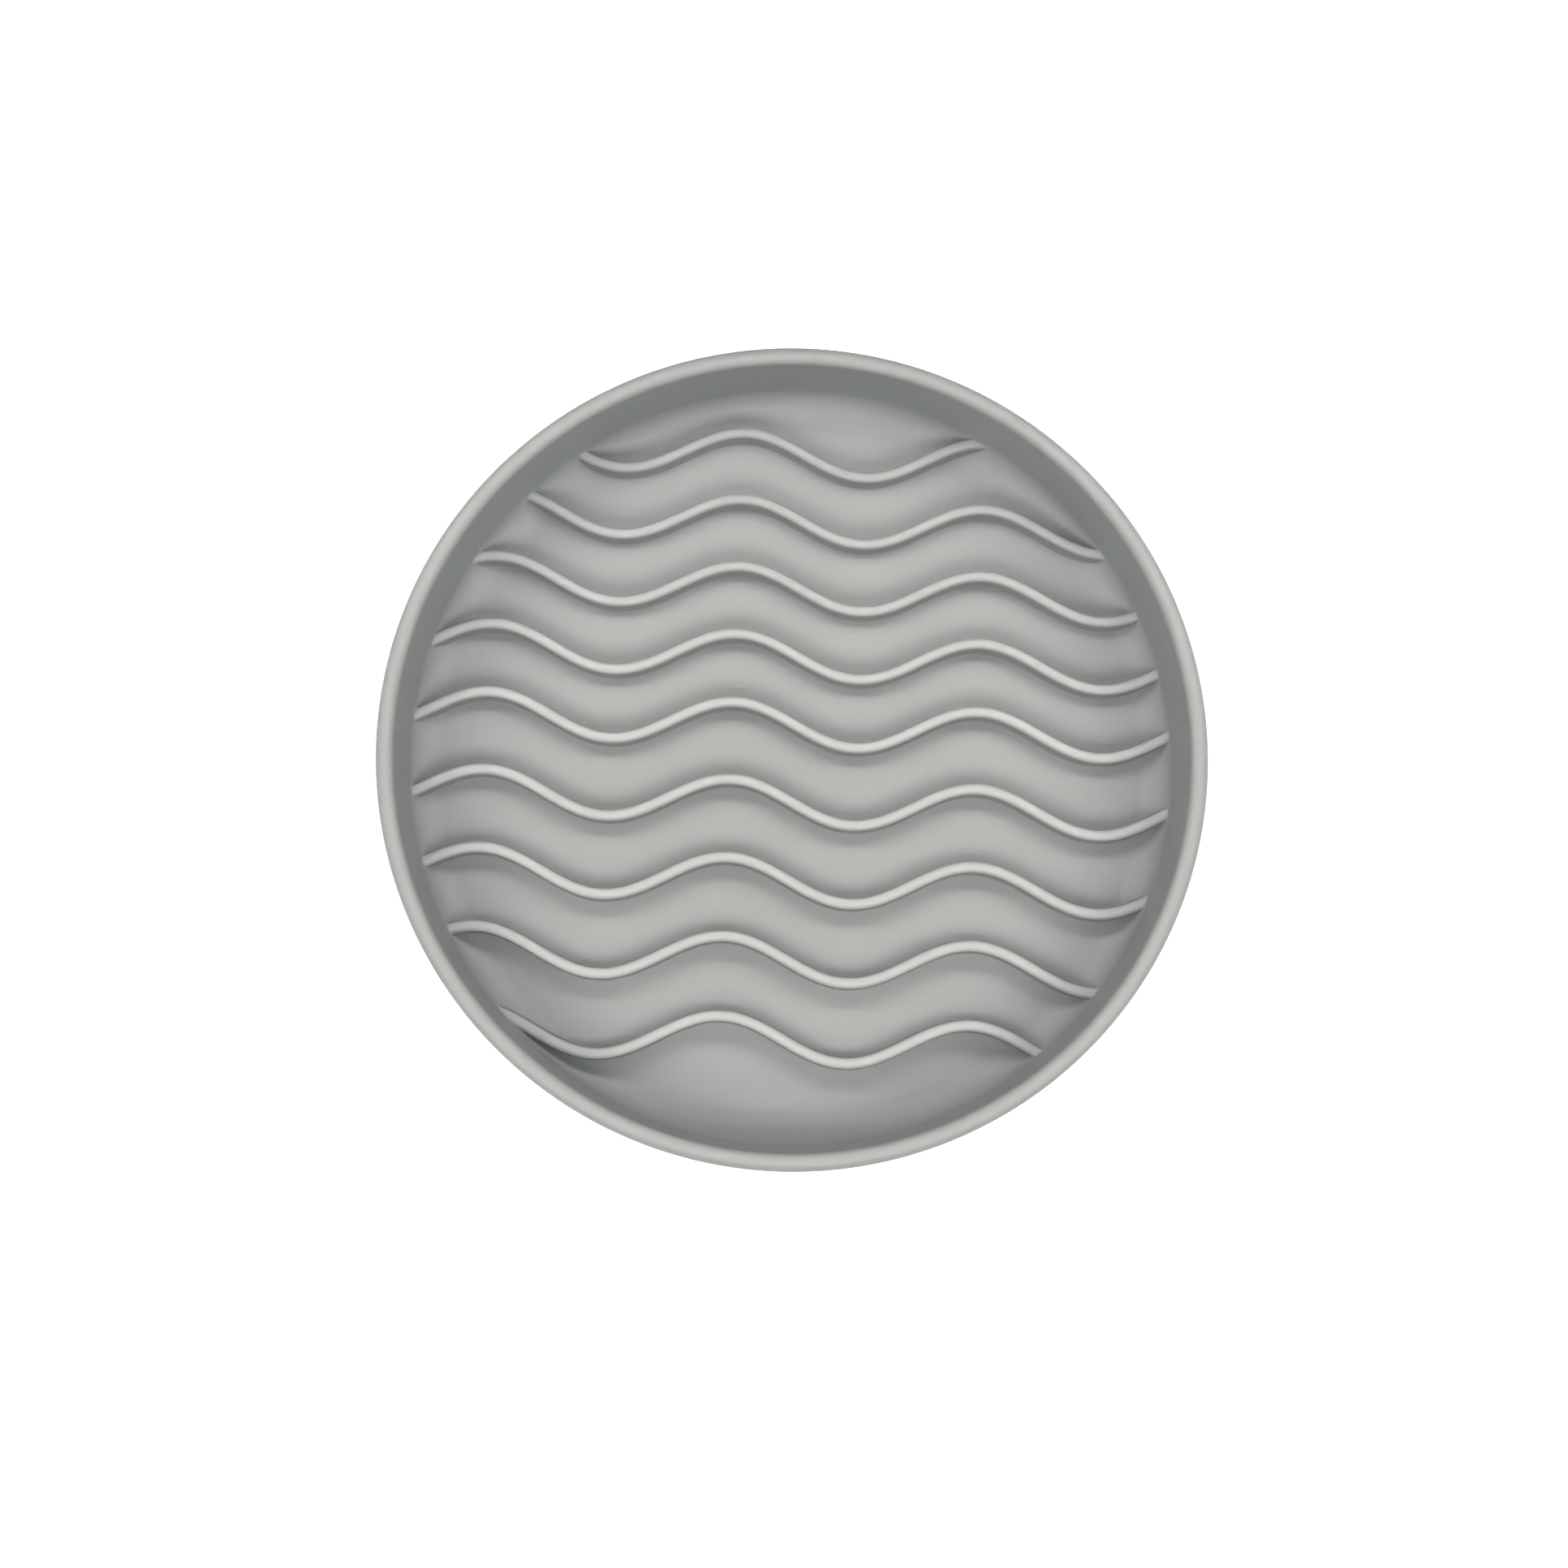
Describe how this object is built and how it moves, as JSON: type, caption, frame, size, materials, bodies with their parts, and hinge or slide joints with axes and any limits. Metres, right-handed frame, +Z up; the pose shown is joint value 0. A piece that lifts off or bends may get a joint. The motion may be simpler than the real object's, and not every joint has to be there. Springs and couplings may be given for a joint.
{
  "type": "slow feeder bowl",
  "caption": "Shallow round silicone pet dish with a low coved wall and rows of wave-shaped ridges on its floor that slow an animal's eating.",
  "frame": {"origin": "middle of the foot ring, on the surface that the dish stands on", "axes": "+Z up out of the dish, X along the rows of ridges, -Y towards the front of the dish"},
  "size_m": [0.165, 0.165, 0.024],
  "materials": {
    "silicone": "matte, pale grey moulded silicone"
  },
  "bodies": {
    "root": {"dish_floor": "silicone", "cove": "silicone", "side_wall": "silicone", "rim": "silicone", "foot_ring": "silicone", "wave_ridge_1": "silicone", "wave_ridge_2": "silicone", "wave_ridge_3": "silicone", "wave_ridge_4": "silicone", "wave_ridge_5": "silicone", "wave_ridge_6": "silicone", "wave_ridge_7": "silicone", "wave_ridge_8": "silicone", "wave_ridge_9": "silicone"}
  },
  "joints": []
}
